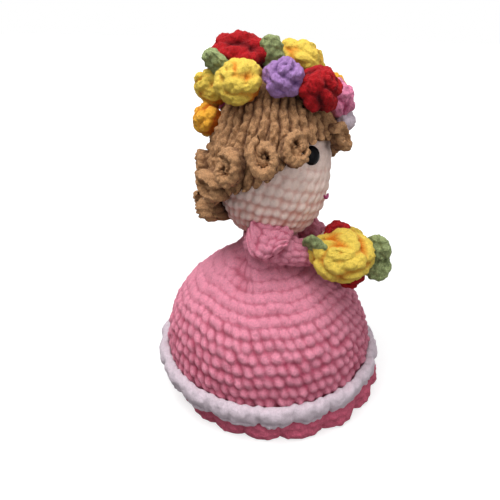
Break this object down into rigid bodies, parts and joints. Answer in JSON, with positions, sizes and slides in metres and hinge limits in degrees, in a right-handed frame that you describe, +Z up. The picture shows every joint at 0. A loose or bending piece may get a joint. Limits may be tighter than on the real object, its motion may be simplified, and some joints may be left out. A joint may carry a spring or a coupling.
{
  "type": "crocheted doll",
  "caption": "Stuffed crocheted doll in a round pink dress, with curled hair, a crown of roses and a bouquet held in both hands.",
  "frame": {"origin": "on the floor, in the middle of the base disc, under the body's axis", "axes": "+Z up, the doll looks along -Y, its right side is at -X and its left side at +X"},
  "size_m": [0.19, 0.1984, 0.2803],
  "materials": {
    "deep_pink_yarn": "velvety chenille yarn",
    "white_yarn": "velvety chenille yarn",
    "pink_yarn": "velvety chenille yarn",
    "filling": "loose polyester fibre",
    "skin_yarn": "velvety chenille yarn",
    "eye_plastic": "polished black",
    "washer_plastic": "moulded white",
    "mouth_yarn": "fine cotton yarn",
    "hair_yarn": "velvety chenille yarn",
    "red_yarn": "velvety chenille yarn",
    "yellow_yarn": "velvety chenille yarn",
    "purple_yarn": "velvety chenille yarn",
    "orange_yarn": "velvety chenille yarn",
    "rose_pink_yarn": "velvety chenille yarn",
    "green_yarn": "velvety chenille yarn"
  },
  "bodies": {
    "body": {"base_disc": "deep_pink_yarn", "petticoat": "deep_pink_yarn", "skirt_trim": "white_yarn", "dress": "pink_yarn", "body_stuffing": "filling", "chest": "skin_yarn"},
    "neck": {"neck": "skin_yarn"},
    "head": {"head_skin": "skin_yarn", "head_stuffing": "filling", "right_eye": "eye_plastic", "left_eye": "eye_plastic", "right_eye_washer": "washer_plastic", "left_eye_washer": "washer_plastic", "mouth_stitch": "mouth_yarn", "wig_cap": "hair_yarn", "curl_brow": "hair_yarn", "curl_right_temple": "hair_yarn", "curl_right_side": "hair_yarn", "curl_right_ear": "hair_yarn", "curl_right_back_high": "hair_yarn", "curl_right_back_low": "hair_yarn", "curl_left_temple": "hair_yarn", "curl_left_side": "hair_yarn", "curl_left_ear": "hair_yarn", "curl_left_back_high": "hair_yarn", "curl_left_back_low": "hair_yarn", "curl_nape_high": "hair_yarn", "curl_nape_low": "hair_yarn", "rose_red_top": "red_yarn", "rose_yellow_top": "yellow_yarn", "rose_red_right": "red_yarn", "rose_purple_right": "purple_yarn", "rose_yellow_right": "yellow_yarn", "rose_yellow_back": "yellow_yarn", "rose_orange_back": "orange_yarn", "rose_pink_front": "rose_pink_yarn", "rose_white_front": "white_yarn", "rose_orange_left": "orange_yarn", "rose_purple_left": "purple_yarn", "rose_yellow_left": "yellow_yarn", "rose_pink_back": "rose_pink_yarn", "leaf_crown_back": "green_yarn", "leaf_crown_top": "green_yarn", "leaf_crown_left": "green_yarn"},
    "right_arm": {"right_sleeve": "pink_yarn", "right_sleeve_frill": "pink_yarn", "right_hand": "skin_yarn", "bouquet_pad": "green_yarn", "bouquet_rose_yellow_right": "yellow_yarn", "bouquet_rose_yellow_left": "yellow_yarn", "bouquet_rose_red_top": "red_yarn", "bouquet_rose_red_low": "red_yarn", "bouquet_leaf_side": "green_yarn", "bouquet_leaf_front_high": "green_yarn", "bouquet_leaf_front_low": "green_yarn"},
    "left_arm": {"left_sleeve": "pink_yarn", "left_sleeve_frill": "pink_yarn", "left_hand": "skin_yarn"}
  },
  "joints": [
    {"name": "head_tilt", "type": "hinge", "parent": "body", "child": "neck", "pos_m": [0, 0, 0.136], "axis": [0, -1, 0], "range_deg": [0, 12]},
    {"name": "head_turn", "type": "hinge", "parent": "neck", "child": "head", "pos_m": [0, 0, 0.136], "axis": [0.2419, 0, 0.9703], "range_deg": [-25, 25]},
    {"name": "right_arm_raise", "type": "hinge", "parent": "body", "child": "right_arm", "pos_m": [0, 0, 0.136], "axis": [-1, 0, 0], "range_deg": [0, 14]},
    {"name": "left_arm_raise", "type": "hinge", "parent": "body", "child": "left_arm", "pos_m": [0, 0, 0.136], "axis": [-1, 0, 0], "range_deg": [0, 14]}
  ],
  "couplings": [
    {"joint": "left_arm_raise", "follows": "right_arm_raise", "ratio": 1}
  ]
}
